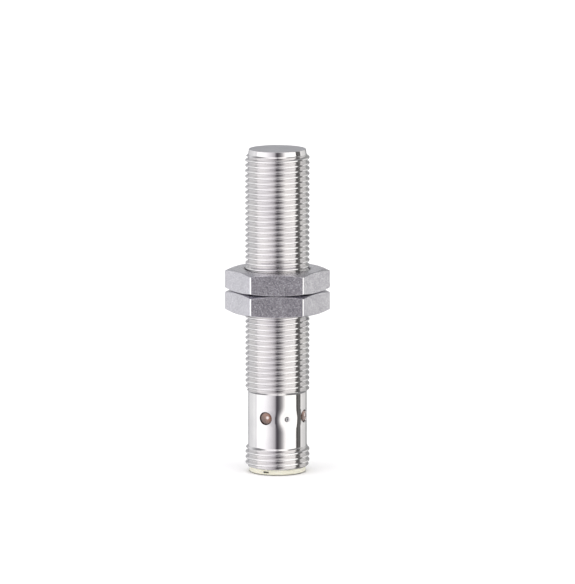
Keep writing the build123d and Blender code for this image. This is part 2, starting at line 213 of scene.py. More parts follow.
def angle_from(co, centre):
    """Signed angle about the axis from the direction centre, between -pi and pi."""
    return (math.atan2(co.y, co.x) - centre + math.pi) % math.tau - math.pi


def drill_window(bm, centre, wall_r, hole_r):
    """Opens a round hole in one wall of the waist and returns the hole's edges."""
    reach = (WINDOW_CELLS + 0.2) * COLUMN
    rise = (WINDOW_CELLS + 0.2) * CELL
    inside = []
    for face in bm.faces:
        mid = face.calc_center_median()
        near_wall = abs(math.hypot(mid.x, mid.y) - wall_r) < 0.1
        if near_wall and abs(angle_from(mid, centre)) < reach and abs(mid.z - WINDOW_Z) < rise:
            inside.append(face)
    chosen = set(inside)
    rim = [e for f in inside for e in f.edges if not all(o in chosen for o in e.link_faces)]
    for vert in {v for e in rim for v in e.verts}:
        across = wall_r * math.sin(angle_from(vert.co, centre))
        up = vert.co.z - WINDOW_Z
        far = math.hypot(across, up)
        turn = centre + math.asin(across / far * hole_r / wall_r)
        vert.co = (wall_r * math.cos(turn), wall_r * math.sin(turn), WINDOW_Z + up / far * hole_r)
    bmesh.ops.delete(bm, geom=inside, context="FACES")
    return [e for e in rim if e.is_valid]


def window_wall(bm, centre, outer, inner):
    """Joins the two walls round a window, with a small broken edge on the outside."""
    out = Vector((math.cos(centre), math.sin(centre), 0))
    made = bmesh.ops.extrude_edge_only(bm, edges=outer)["geom"]
    step = [g for g in made if isinstance(g, bmesh.types.BMEdge)]
    axis_point = Vector((0, 0, WINDOW_Z))
    for vert in {v for e in step for v in e.verts}:
        offset = vert.co - axis_point
        along = offset.dot(out)
        narrowed = (offset - out * along) * (WINDOW_R / (WINDOW_R + WINDOW_EDGE))
        vert.co = axis_point + out * (along - WINDOW_EDGE_DEPTH) + narrowed
    bmesh.ops.bridge_loops(bm, edges=step + inner)


def finer(bm, faces, cuts):
    """Divides a patch of the waist and returns every point in it."""
    edges = list({e for f in faces for e in f.edges})
    made = bmesh.ops.subdivide_edges(bm, edges=edges, cuts=cuts, use_grid_fill=True)
    new = made["geom_inner"] + made["geom_split"]
    verts = {v for f in faces if f.is_valid for v in f.verts}
    return verts | {g for g in new if isinstance(g, bmesh.types.BMVert)}


def punch_crimp(bm):
    """Presses the crimp: a broad shallow dish with a small sharp mark in its middle."""
    def distance(co):
        return math.hypot(WAIST_R * angle_from(co, CRIMP_ANGLE), co.z - CRIMP_Z)

    def patch(reach):
        near = [f for f in bm.faces if distance(f.calc_center_median()) < reach]
        return [f for f in near if math.hypot(*f.calc_center_median().xy) > WAIST_R - 0.1]

    finer(bm, patch(2.4), 2)
    finer(bm, patch(0.75), 3)
    rim = math.sqrt(PUNCH_R ** 2 - (PUNCH_R - PUNCH_DEPTH) ** 2)
    dish_end = math.exp(-DISH_REACH ** 2 / (2 * DISH_SPREAD ** 2))
    for vert in {v for f in patch(DISH_REACH) for v in f.verts}:
        d = distance(vert.co)
        dish = DISH_DEPTH * (math.exp(-d * d / (2 * DISH_SPREAD ** 2)) - dish_end)
        mark = math.sqrt(PUNCH_R ** 2 - d * d) - PUNCH_R + PUNCH_DEPTH if d < rim else 0
        set_radius(vert, WAIST_R - max(dish, 0) - mark)


def piece(name, bm, body, node, slot, *materials):
    """Makes a finished object from a mesh in millimetres and ties it to the frame."""
    bmesh.ops.scale(bm, vec=(METRES,) * 3, verts=bm.verts)
    mesh = bpy.data.meshes.new(name)
    for face in bm.faces:
        face.smooth = True
    bm.to_mesh(mesh)
    bm.free()
    mesh.set_sharp_from_angle(angle=SHARP_ANGLE)
    for material in materials:
        mesh.materials.append(material)
    made = bpy.data.objects.new(name, mesh)
    bpy.context.scene.collection.objects.link(made)
    normals = made.modifiers.new("Face weights", "WEIGHTED_NORMAL")
    normals.keep_sharp = True
    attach(made, body)
    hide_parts(node)
    return made


class Num:
    """A number inside a set of shader nodes; arithmetic on it adds Math nodes."""

    def __init__(self, nodes, socket):
        self.nodes = nodes
        self.socket = socket

    def maths(self, operation, *others):
        values = dict(enumerate((self,) + others))
        made = self.nodes.node("ShaderNodeMath", {"operation": operation}, values)
        return Num(self.nodes, made.outputs[0])

    def __add__(self, other):
        return self.maths("ADD", other)

    def __radd__(self, other):
        return self.maths("ADD", other)

    def __sub__(self, other):
        return self.maths("SUBTRACT", other)

    def __rsub__(self, other):
        return (self * -1) + other

    def __mul__(self, other):
        return self.maths("MULTIPLY", other)

    def __rmul__(self, other):
        return self.maths("MULTIPLY", other)

    def __truediv__(self, other):
        return self.maths("DIVIDE", other)

    def __pow__(self, other):
        return self.maths("POWER", other)


class Nodes:
    """The nodes of one material, or of the studio's surroundings."""

    def __init__(self, tree):
        self.tree = tree
        tree.nodes.clear()
        self.place = self.node("ShaderNodeTexCoord").outputs["Object"]

    def node(self, kind, settings=None, sockets=None):
        made = self.tree.nodes.new(kind)
        for name, value in (settings or {}).items():
            if name == "stops":
                self.set_stops(made.color_ramp, value)
            else:
                setattr(made, name, value)
        for key, value in (sockets or {}).items():
            value = value.socket if isinstance(value, Num) else value
            if isinstance(value, bpy.types.NodeSocket):
                self.tree.links.new(value, made.inputs[key])
            else:
                made.inputs[key].default_value = value
        return made

    def set_stops(self, ramp, stops):
        while len(ramp.elements) > 1:
            ramp.elements.remove(ramp.elements[-1])
        ramp.elements[0].position = stops[0][0]
        ramp.elements[0].color = (*stops[0][1], 1)
        for position, colour in stops[1:]:
            ramp.elements.new(position).color = (*colour, 1)

    def xyz(self, vector=None):
        parts = self.node("ShaderNodeSeparateXYZ", None, {0: vector or self.place})
        return [Num(self, out) for out in parts.outputs]

    def noise(self, scale, detail=3.0, vector=None, rough=0.5):
        sockets = {"Vector": vector or self.place, "Scale": scale, "Detail": detail, "Roughness": rough}
        return Num(self, self.node("ShaderNodeTexNoise", None, sockets).outputs["Fac"])

    def ease(self, value, start, end, low=0.0, high=1.0):
        """low up to start, high from end on, and a smooth step between."""
        settings = {"interpolation_type": "SMOOTHSTEP"}
        sockets = {0: value, 1: start, 2: end, 3: low, 4: high}
        return Num(self, self.node("ShaderNodeMapRange", settings, sockets).outputs[0])

    def blend(self, factor, first, second):
        def colour(value):
            return (*value, 1) if isinstance(value, tuple) else value
        sockets = {0: factor, 6: colour(first), 7: colour(second)}
        return self.node("ShaderNodeMix", {"data_type": "RGBA"}, sockets).outputs[2]

    def vector(self, x, y, z):
        return self.node("ShaderNodeCombineXYZ", None, {0: x, 1: y, 2: z}).outputs[0]

    def bump(self, height, distance, strength=1.0, normal=None):
        sockets = {"Height": height, "Distance": distance, "Strength": strength}
        if normal:
            sockets["Normal"] = normal
        return self.node("ShaderNodeBump", None, sockets).outputs[0]


def finish(name, **fixed):
    """A new material: its nodes, and a function that gives its shader values or links."""
    material = bpy.data.materials.new(name)
    material.use_nodes = True
    nodes = Nodes(material.node_tree)
    sockets = {key.replace("_", " "): value for key, value in fixed.items()}
    shader = nodes.node("ShaderNodeBsdfPrincipled", None, sockets)
    nodes.node("ShaderNodeOutputMaterial", None, {"Surface": shader.outputs[0]})

    def give(**links):
        for key, value in links.items():
            value = value.socket if isinstance(value, Num) else value
            nodes.tree.links.new(value, shader.inputs[key.replace("_", " ")])
        return material
    return nodes, give


def turned_steel():
    """Polished steel with faint tool marks round the axis; the thread roots carry patches of painted shade,
    which leaves the crests brighter, and the crimp's mark is painted dark as shade.
    """
    nodes, give = finish("turned_steel", Metallic=1.0)
    x, y, z = nodes.xyz()
    radius = (x * x + y * y) ** 0.5
    around = y.maths("ARCTAN2", x)
    lines = nodes.noise(1.0, 4.0, nodes.vector(around * 1.4, radius * 3000, z * 26000), 0.6)
    streaks = nodes.noise(1.0, 2.0, nodes.vector(around * 14, radius * 300, z * 130))
    cloud = nodes.noise(240.0, 4.0)
    root = nodes.ease(radius, 0.00543, 0.0057, 1.0, 0.0)
    threaded = nodes.ease(z, 0.0149, 0.0151) + nodes.ease(z, 0.0048, 0.0050, 1.0, 0.0)
    threaded = threaded * nodes.ease(z, 0.0589, 0.0591, 1.0, 0.0)
    from_crimp = (((around - CRIMP_ANGLE) * WAIST_R) ** 2 + (z / METRES - CRIMP_Z) ** 2) ** 0.5
    # Painted shade: the crimp's punched mark is painted dark.
    crimp_shade = nodes.ease(from_crimp + cloud * 0.1, 0.42, 0.54, 1.0, 0.0)
    # Painted shade: patches of darker colour in the thread roots.
    root_shade = root * threaded * nodes.ease(cloud, 0.35, 0.65, 0.35, 1.0)
    steel = nodes.blend(nodes.ease(cloud, 0.3, 0.7), (0.73, 0.72, 0.725), (0.80, 0.79, 0.785))
    steel = nodes.blend(root_shade * 0.12, steel, (0.40, 0.37, 0.37))
    steel = nodes.blend(crimp_shade * 0.7, steel, (0.20, 0.20, 0.21))
    rough = 0.04 + streaks * 0.04 + threaded * 0.025 + root_shade * 0.06 + nodes.ease(lines, 0.4, 0.8, 0.0, 0.04)
    fine = nodes.bump(lines, 0.0000012, 0.35)
    wave = nodes.bump(streaks, 0.000004, 0.5, fine)
    return give(Base_Color=steel, Roughness=rough, Normal=wave)


def blasted_steel():
    """The matte end face: the same steel, blasted to an even grey."""
    nodes, give = finish("blasted_steel", Metallic=1.0)
    cloud = nodes.noise(260.0, 5.0)
    grain = nodes.noise(16000.0, 2.0)
    colour = nodes.blend(nodes.ease(cloud, 0.3, 0.7), (0.62, 0.625, 0.65), (0.69, 0.695, 0.715))
    rough = 0.5 + nodes.ease(cloud, 0.3, 0.7, -0.05, 0.06)
    return give(Base_Color=colour, Roughness=rough, Normal=nodes.bump(grain, 0.000012, 0.5))


tube = bmesh.new()
outer_tooth = tooth(ROLLED_HALF)
plug_thread = screw(outer_tooth, PLUG_CREST - 1, 7)
refine_flanks(plug_thread, [(0.9, 1.8), (4.2, 5.1)])
keep_between(plug_thread, TUBE_BOTTOM, PLUG_THREAD_CUT)
turned_down(plug_thread, plug_limit)
add_to(tube, plug_thread)
main_thread = screw(outer_tooth, MAIN_CREST + 13, 47)
refine_flanks(main_thread, [(14.8, 15.7), (58.3, 59.3)])
keep_between(main_thread, *MAIN_THREAD_CUTS)
turned_down(main_thread, main_limit)
add_to(tube, main_thread)

CELL = COLUMN * WAIST_R
waist_rows = [WINDOW_Z + k * CELL for k in range(14, -20, -1)]
waist_top = circle(tube, WAIST_R, waist_rows[0])
turn_on(tube, waist_top, [(WAIST_R, z) for z in waist_rows[1:]])
for thread_end, waist_end in ((MAIN_THREAD_CUTS[0], waist_rows[0]), (PLUG_THREAD_CUT, waist_rows[-1])):
    bmesh.ops.bridge_loops(tube, edges=open_edges(tube, thread_end) + open_edges(tube, waist_end))

bore_rows = [WINDOW_Z + k * CELL for k in range(-6, 7)]
bore_mouth = circle(tube, BORE_R, TUBE_BOTTOM)
bore_end = turn_on(tube, bore_mouth, [(BORE_R, z) for z in bore_rows + [BORE_END]])
close_end(tube, bore_end)
bmesh.ops.bridge_loops(tube, edges=open_edges(tube, TUBE_BOTTOM))

for window in WINDOW_ANGLES:
    outer_hole = drill_window(tube, window, WAIST_R, WINDOW_R + WINDOW_EDGE)
    inner_hole = drill_window(tube, window, BORE_R, WINDOW_R)
    window_wall(tube, window, outer_hole, inner_hole)
punch_crimp(tube)

band_end = [(FACE_R + 0.008, FACE_Z - 0.08), (FACE_R - 0.008, FACE_Z - 0.03)]
band_edge = turn_on(tube, open_edges(tube, MAIN_THREAD_CUTS[1]), band_end)
before_face = set(tube.faces)
close_end(tube, turn_on(tube, band_edge, [(FACE_R - 0.05, FACE_Z), (FACE_R - 0.12, FACE_Z)]))
for face in set(tube.faces) - before_face:
    face.material_index = 1
bmesh.ops.recalc_face_normals(tube, faces=tube.faces)
piece("housing_tube", tube, "housing", "barrel", "stainless_steel", turned_steel(), blasted_steel())


# Lock nuts.  Two hexagon nuts, 17 mm across the flats, sawn and turned from stainless bar,
# tapped M12 x 1 and tumbled, which leaves a fine grain and softly rounded edges.

NUT_FLATS = 16.85
NUT_HEIGHT = 3.95
NUT_FACE_R = 8.15
NUT_CHAMFER = math.tan(math.radians(15))
NUT_TURN = math.radians(-0.7)
NUT_MOUTH_R = 6.15
NUT_RELIEF_R = 6.35
NUT_RELIEF = 0.35
NUT_THREAD_HALF = [
    (0.0, 5.46), (0.045, 5.464), (0.0655, 5.485), (0.09, 5.528),
    (0.36, 5.995), (0.385, 6.03), (0.42, 6.045), (0.5, 6.05),
]
NUT_CORNER_R = 0.40
NUT_EDGE = 0.07
NUT_BLANK_R = 10.4


def mill(bm, angle, distance, rubbed):
    """Cuts one upright face across the blank; a rubbed face belongs to a rounded corner."""
    out = Vector((math.cos(angle), math.sin(angle), 0))
    cut = bmesh.ops.bisect_plane(
        bm, geom=everything(bm), plane_co=out * distance, plane_no=out, clear_outer=True,
    )
    outline = [g for g in cut["geom_cut"] if isinstance(g, bmesh.types.BMEdge)]
    for face in bmesh.ops.contextual_create(bm, geom=outline)["faces"]:
        face.material_index = int(rubbed)


def lock_nut(bottom, relief_below):
    """One nut: a chamfered blank, six milled flats, rounded edges and a tapped bore."""
    top = bottom + NUT_HEIGHT
    drop = (NUT_BLANK_R - NUT_FACE_R) * NUT_CHAMFER
    low_mouth = NUT_RELIEF_R if relief_below else NUT_MOUTH_R
    high_mouth = NUT_MOUTH_R if relief_below else NUT_RELIEF_R
    nut = bmesh.new()
    turn_on(nut, circle(nut, low_mouth, bottom), [
        (NUT_FACE_R, bottom), (NUT_BLANK_R, bottom + drop), (NUT_BLANK_R, top - drop),
        (NUT_FACE_R, top), (high_mouth, top),
    ])
    bmesh.ops.rotate(nut, matrix=Matrix.Rotation(NUT_TURN + COLUMN / 2, 3, "Z"), verts=nut.verts)
    fillet_r = NUT_FLATS / 2 - NUT_CORNER_R
    for k in range(6):
        side = math.radians(60 * k + 30) + NUT_TURN
        mill(nut, side, NUT_FLATS / 2, False)
        corner_r = fillet_r / math.cos(math.radians(30))
        for tilt in (-20, -10, 0, 10, 20):
            lean = math.radians(tilt)
            mill(nut, side + math.radians(30) + lean, corner_r * math.cos(lean) + NUT_CORNER_R, True)
    bmesh.ops.remove_doubles(nut, verts=nut.verts, dist=0.002)
    bmesh.ops.recalc_face_normals(nut, faces=nut.faces)
    nut.normal_update()
    crisp = [e for e in nut.edges if len(e.link_faces) == 2 and e.calc_face_angle() > math.radians(12)]
    level = [e for e in crisp if abs(e.verts[0].co.z - e.verts[1].co.z) < 0.3]
    bmesh.ops.bevel(
        nut, geom=level, offset=NUT_EDGE, segments=2, profile=0.5,
        affect="EDGES", material=-1, clamp_overlap=True,
    )

    bore = screw(tooth(NUT_THREAD_HALF), math.floor(bottom) - 2 + MAIN_CREST + PITCH / 2, 8)
    low = bottom + (NUT_RELIEF if relief_below else 0)
    high = top - (0 if relief_below else NUT_RELIEF)
    refine_flanks(bore, [(low - 0.1, low + 0.9), (high - 0.9, high + 0.1)])
    keep_between(bore, low, high)
    turned_down(bore, lambda z, r: max(r, NUT_MOUTH_R - (z - low), NUT_MOUTH_R - (high - z)))
    add_to(nut, bore)
    step, face, mouth = (low, bottom, top) if relief_below else (high, top, bottom)
    wall_end = face + (0.02 if relief_below else -0.02)
    turn_on(nut, open_edges(nut, step), [(NUT_RELIEF_R, step), (NUT_RELIEF_R, wall_end)])
    bmesh.ops.bridge_loops(nut, edges=open_edges(nut, face, 0.025))
    bmesh.ops.bridge_loops(nut, edges=open_edges(nut, mouth))
    bmesh.ops.recalc_face_normals(nut, faces=nut.faces)
    return nut


def tumbled_steel():
    """Tumbled steel: a satin grain of small pits and bright specks, smoother on the edges, with a ring of
    painted shade round the bore.
    """
    nodes, give = finish("tumbled_steel", Metallic=1.0)
    grain = nodes.noise(2300.0, 3.0, None, 0.7)
    speck = nodes.noise(6000.0, 1.0, None, 0.5)
    cloud = nodes.noise(320.0, 4.0)
    light = nodes.ease(speck, 0.46, 0.66)
    x, y, z = nodes.xyz()
    # Painted shade: everything just round the bore is darkened, where the thread meets the nut.
    bore_ring_shade = nodes.ease((x * x + y * y) ** 0.5, 0.0061, 0.0066, 0.5, 0.0)
    steel = nodes.blend(nodes.ease(cloud, 0.3, 0.7), (0.54, 0.53, 0.57), (0.61, 0.60, 0.64))
    steel = nodes.blend(light * 0.5, steel, (0.96, 0.96, 0.97))
    steel = nodes.blend(bore_ring_shade, steel, (0.20, 0.19, 0.19))
    rough = 0.22 + nodes.ease(grain, 0.3, 0.7, -0.04, 0.06) - light * 0.05
    coarse = nodes.bump(grain, 0.000025, 0.8)
    return give(Base_Color=steel, Roughness=rough, Normal=nodes.bump(speck, 0.00005, 1.0, coarse))


def rubbed_steel():
    """The nut's upright edges, rubbed bright in the tumbling barrel."""
    nodes, give = finish("rubbed_steel", Metallic=1.0)
    cloud = nodes.noise(2500.0, 4.0)
    steel = nodes.blend(nodes.ease(cloud, 0.3, 0.7), (0.90, 0.90, 0.91), (0.96, 0.96, 0.97))
    rough = 0.14 + nodes.ease(cloud, 0.3, 0.7, 0.0, 0.06)
    return give(Base_Color=steel, Roughness=rough, Normal=nodes.bump(cloud, 0.000004, 0.4))


def show_in(material, *nodes):
    """Gives CAD nodes a finished material."""
    for name in nodes:
        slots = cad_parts[name].data.materials
        slots.clear()
        slots.append(material)


nut_steel = tumbled_steel()
nut_edge_steel = rubbed_steel()
for which, relief_below in (("lower", False), ("upper", True)):
    node = which + "_nut"
    nut = lock_nut(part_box(node)[0][2] / METRES, relief_below)
    piece(which + "_lock_nut", nut, node, node, "nut_steel", nut_steel, nut_edge_steel)
    show_in(nut_steel, node + "_lead")


# Light guide.  One amber moulding inside the waist: a ring whose four studs come up through
# the drilled windows and end in shallow domes just below the steel.

GUIDE_OUT_R = 4.7
GUIDE_IN_R = 4.0
GUIDE_BOTTOM = 9.3
GUIDE_TOP = 12.4
STUD_R = 1.15
STUD_FOOT = 4.4
STUD_TOP = 5.38
STUD_DOME = 0.42
STUD_STEPS = 9


def light_guide():
    """The ring, with a domed stud behind each window."""
    guide = bmesh.new()
    ring = [(GUIDE_OUT_R, GUIDE_TOP), (GUIDE_IN_R, GUIDE_TOP), (GUIDE_IN_R, GUIDE_BOTTOM)]
    turn_on(guide, circle(guide, GUIDE_OUT_R, GUIDE_BOTTOM), ring)
    bmesh.ops.bridge_loops(guide, edges=open_edges(guide, GUIDE_BOTTOM))
    for angle in WINDOW_ANGLES:
        stud = bmesh.new()
        made = bmesh.ops.create_circle(stud, segments=48, radius=STUD_R)
        edges = list({e for v in made["verts"] for e in v.link_edges})
        shoulder = STUD_TOP - STUD_DOME - STUD_FOOT
        bends = [k * math.pi / 2 / STUD_STEPS for k in range(STUD_STEPS)]
        dome = [(STUD_R * math.cos(bend), shoulder + STUD_DOME * math.sin(bend)) for bend in bends]
        close_end(stud, turn_on(stud, edges, dome))
        close_end(stud, edges)
        at_window = Matrix.Rotation(angle, 4, "Z") @ Matrix.Translation((STUD_FOOT, 0, WINDOW_Z))
        bmesh.ops.transform(stud, matrix=at_window @ Matrix.Rotation(math.pi / 2, 4, "Y"), verts=stud.verts)
        add_to(guide, stud)
    bmesh.ops.recalc_face_normals(guide, faces=guide.faces)
    return guide


def amber_moulding():
    """Clear brown-amber plastic, with painted light on each stud: a pale painted highlight near the middle,
    painted shade towards one lower side, and a dark painted shade round the edge.
    """
    nodes, give = finish(
        "amber_moulding", Transmission_Weight=0.2, IOR=1.58,
        Coat_Weight=1.0, Coat_Roughness=0.03, Coat_IOR=1.6,
    )
    x, y, z = nodes.xyz()
    turn = y.maths("ARCTAN2", x) - WINDOW_ANGLES[0]
    across = (turn * 4).maths("SINE") * 0.25 * STUD_TOP
    up = z / METRES - WINDOW_Z
    flow = nodes.noise(900.0, 4.0)
    # Painted highlight: a pale spot a little above and to one side of each stud's middle.
    lit = ((across - 0.36) ** 2 + (up - 0.15) ** 2) ** 0.5 + (flow - 0.5) * 0.2
    # Painted shade: each stud darkens towards one lower side.
    shade = nodes.ease(across + up * 0.8 + (flow - 0.5) * 0.5, -0.9, 0.7)
    colour = nodes.blend(shade, (0.095, 0.032, 0.015), (0.31, 0.15, 0.10))
    colour = nodes.blend(nodes.ease(lit, 0.1, 0.42, 0.9, 0.0), colour, (0.95, 0.86, 0.84))
    # Painted shade: a dark ring round each stud's edge, against the steel.
    from_middle = (across ** 2 + up ** 2) ** 0.5
    colour = nodes.blend(nodes.ease(from_middle, 0.8, 1.1, 0.0, 0.6), colour, (0.05, 0.018, 0.016))
    rough = 0.10 + nodes.ease(flow, 0.3, 0.7, 0.0, 0.08)
    return give(Base_Color=colour, Roughness=rough, Normal=nodes.bump(nodes.noise(2500.0), 0.00001, 0.4))


piece("window_light_guide", light_guide(), "housing", "light_guide_ring", "amber_plastic", amber_moulding())


# Plug insert.  A cream moulding that carries the contacts: its rim stands below the steel,
# its round socket has a coding key, and a small notch in the rim marks the key's side.

RIM_R = 5.2
RIM_TOP = 1.08
INSERT_R = 4.75
INSERT_TOP = 9.2
SOCKET_R = 4.2
SOCKET_DEPTH = 7.7
KEY_ANGLE = WINDOW_ANGLES[0]
KEY_DEPTH = 0.55
KEY_BOTTOM = 0.7
NOTCH_DEPTH = 0.45
NOTCH_BOTTOM = 0.37
NOTCH_TOP = 0.72


def faces_near(bm, centre, half_angle, low, high, wall_r):
    """The faces of one wall that lie within half_angle of centre, between two heights."""
    found = []
    for face in bm.faces:
        mid = face.calc_center_median()
        near = abs(math.hypot(mid.x, mid.y) - wall_r) < 0.05
        if near and abs(angle_from(mid, centre)) < half_angle and low < mid.z < high:
            found.append(face)
    return found


def push_faces(bm, faces, vector):
    """Extrudes a patch of wall along a vector, in millimetres."""
    made = bmesh.ops.extrude_face_region(bm, geom=faces)["geom"]
    bmesh.ops.delete(bm, geom=faces, context="FACES_ONLY")
    bmesh.ops.translate(bm, vec=vector, verts=[g for g in made if isinstance(g, bmesh.types.BMVert)])


def plug_insert():
    """The rim, body and socket, with the notch pressed in and the key standing out."""
    insert = bmesh.new()
    outline = [
        (RIM_R - 0.06, 0.03), (RIM_R - 0.015, 0.09), (RIM_R, 0.18), (RIM_R, NOTCH_BOTTOM),
        (RIM_R, NOTCH_TOP), (RIM_R, 1.0), (RIM_R - 0.03, 1.06), (RIM_R - 0.08, RIM_TOP),
        (INSERT_R, RIM_TOP), (INSERT_R, INSERT_TOP),
    ]
    close_end(insert, turn_on(insert, circle(insert, RIM_R - 0.16, 0), outline))
    socket = [(SOCKET_R + 0.03, 0.06), (SOCKET_R, 0.14), (SOCKET_R, KEY_BOTTOM), (SOCKET_R, SOCKET_DEPTH)]
    mouth = turn_on(insert, open_edges(insert, 0), [(SOCKET_R + 0.1, 0)])
    close_end(insert, turn_on(insert, mouth, socket))
    inward = Vector((-math.cos(KEY_ANGLE), -math.sin(KEY_ANGLE), 0))
    notch = faces_near(insert, KEY_ANGLE, 2.2 * COLUMN, NOTCH_BOTTOM, NOTCH_TOP, RIM_R)
    push_faces(insert, notch, inward * NOTCH_DEPTH)
    key = faces_near(insert, KEY_ANGLE, 3.2 * COLUMN, KEY_BOTTOM, SOCKET_DEPTH, SOCKET_R)
    push_faces(insert, key, inward * KEY_DEPTH)
    bmesh.ops.recalc_face_normals(insert, faces=insert.faces)
    return insert


def cream_moulding():
    """Pale yellow engineering plastic with a faint mould texture, painted dark along the bottom edge as a
    contact shadow and inside the notch as shade.
    """
    nodes, give = finish("cream_moulding", Subsurface_Weight=0.08, Subsurface_Radius=(0.0006, 0.0005, 0.0003))
    cloud = nodes.noise(350.0, 4.0)
    grain = nodes.noise(9000.0, 2.0)
    x, y, z = nodes.xyz()
    radius = (x * x + y * y) ** 0.5
    # Painted contact shadow: darker along the bottom edge of the rim.
    contact_and_notch_shade = nodes.ease(z, 0.00006, 0.00024, 0.8, 0.0)
    # Painted shade: darker inside the notch.
    contact_and_notch_shade = contact_and_notch_shade + nodes.ease(radius, 0.00500, 0.00514, 0.7, 0.0)
    colour = nodes.blend(nodes.ease(cloud, 0.3, 0.7), (0.87, 0.855, 0.71), (0.92, 0.905, 0.77))
    colour = nodes.blend(contact_and_notch_shade * nodes.ease(radius, 0.00440, 0.00445), colour, (0.10, 0.09, 0.07))
    rough = 0.42 + nodes.ease(grain, 0.3, 0.7, -0.05, 0.08)
    return give(Base_Color=colour, Roughness=rough, Normal=nodes.bump(grain, 0.000006, 0.4))


piece("plug_insert", plug_insert(), "housing", "contact_carrier", "cream_plastic", cream_moulding())


# Contacts.  Four brass pins of 1 mm, turned with a rounded tip and plated with nickel and
# gold.  They are pressed through the insert's floor and soldered to the indicator board.

PIN_R = 0.5
PIN_TIP = 0.42
PIN_STEPS = 6
PIN_CIRCLE_R = 2.5
PIN_BOTTOM = 1.2
PIN_TOP = 10.6


def plug_pin(angle):
    """One pin at its angle on the pin circle."""
    pin = bmesh.new()
    start = Matrix.Translation((0, 0, PIN_BOTTOM))
    made = bmesh.ops.create_circle(pin, segments=32, radius=0.06, matrix=start)
    edges = list({e for v in made["verts"] for e in v.link_edges})
    bends = [k * math.pi / 2 / PIN_STEPS for k in range(1, PIN_STEPS + 1)]
    tip = [(PIN_R * math.sin(bend), PIN_BOTTOM + PIN_TIP * (1 - math.cos(bend))) for bend in bends]
    body = [(PIN_R, PIN_TOP - 0.1), (PIN_R - 0.1, PIN_TOP)]
    close_end(pin, turn_on(pin, edges, tip + body))
    close_end(pin, edges)
    bmesh.ops.recalc_face_normals(pin, faces=pin.faces)
    place = Vector((PIN_CIRCLE_R * math.cos(angle), PIN_CIRCLE_R * math.sin(angle), 0))
    bmesh.ops.translate(pin, vec=place, verts=pin.verts)
    return pin


def gold_plate():
    """Thin gold over nickel, with drawn lines along the pin and a worn tip."""
    nodes, give = finish("gold_plate", Metallic=1.0)
    x, y, z = nodes.xyz()
    lines = nodes.noise(1.0, 3.0, nodes.vector(x * 9000, y * 9000, z * 500))
    worn = nodes.ease(z, 0.0014, 0.0021, 0.45, 0.0) * nodes.ease(nodes.noise(2600.0, 4.0), 0.4, 0.6)
    colour = nodes.blend(worn, (0.86, 0.62, 0.25), (0.80, 0.74, 0.62))
    return give(Base_Color=colour, Roughness=0.16 + lines * 0.12, Normal=nodes.bump(lines, 0.000002, 0.4))


gold = gold_plate()
for number in range(1, 5):
    pin = plug_pin(KEY_ANGLE + math.radians(90 * number - 45))
    piece(f"plug_pin_{number}", pin, "housing", f"contact_pin_{number}", "gold_plating", gold)


# Sealing ring.  A black nitrile O-ring with a faint bloom.  It sits in the groove round the
# plug insert and keeps the resin in and the damp out.

def rubber():
    """Black nitrile, slightly grey where it has bloomed."""
    nodes, give = finish("rubber", IOR=1.5)
    bloom = nodes.noise(700.0, 5.0)
    colour = nodes.blend(nodes.ease(bloom, 0.4, 0.75), (0.012, 0.012, 0.013), (0.05, 0.05, 0.05))
    rough = 0.5 + nodes.ease(bloom, 0.3, 0.7, -0.08, 0.12)
    return give(Base_Color=colour, Roughness=rough, Normal=nodes.bump(nodes.noise(8000.0), 0.00001, 0.5))


show_in(rubber(), "carrier_seal")


# Circuit boards.  Green glass-epoxy laminate with copper tracks under the solder mask: a round
# board across the tube for the indicators, and a long one on the axis for the rest.

def laminate():
    """Solder mask over the glass weave, with square-cornered tracks showing through."""
    nodes, give = finish("laminate", IOR=1.5, Coat_Weight=0.4)
    x, y, z = nodes.xyz()
    cells = [(axis * count).maths("FLOOR") for axis, count in ((x, 900), (y, 900), (z, 160))]
    track = nodes.ease(nodes.noise(1.0, 0.0, nodes.vector(*cells)), 0.53, 0.55)
    weave = ((x + y) * 9000).maths("SINE") * (z * 9000).maths("SINE")
    colour = nodes.blend(track, (0.012, 0.10, 0.035), (0.03, 0.20, 0.07))
    rough = 0.32 + weave * 0.04
    height = track + weave * 0.08
    return give(Base_Color=colour, Roughness=rough, Normal=nodes.bump(height, 0.00003, 0.6))


show_in(laminate(), "led_board", "circuit_board")


# Board parts.  Black moulded packages, ceramic chips, an ochre tantalum capacitor, clear
# indicator lenses, and the solder and copper that join them.

def moulding(name, dark, light, gloss):
    """A moulded or fired body with a fine even texture."""
    nodes, give = finish(name, IOR=1.5)
    cloud = nodes.noise(1500.0, 4.0)
    grain = nodes.noise(22000.0, 2.0)
    colour = nodes.blend(nodes.ease(cloud, 0.3, 0.7), dark, light)
    rough = gloss + nodes.ease(grain, 0.3, 0.7, -0.05, 0.07)
    return give(Base_Color=colour, Roughness=rough, Normal=nodes.bump(grain, 0.000006, 0.5))


def bare_metal(name, dull, bright, rough_low):
    """Bright soft metal with a slight tarnish in patches."""
    nodes, give = finish(name, Metallic=1.0)
    tarnish = nodes.noise(1800.0, 5.0)
    colour = nodes.blend(nodes.ease(tarnish, 0.35, 0.65), bright, dull)
    rough = rough_low + nodes.ease(tarnish, 0.35, 0.65, 0.0, 0.15)
    return give(Base_Color=colour, Roughness=rough, Normal=nodes.bump(tarnish, 0.00001, 0.4))


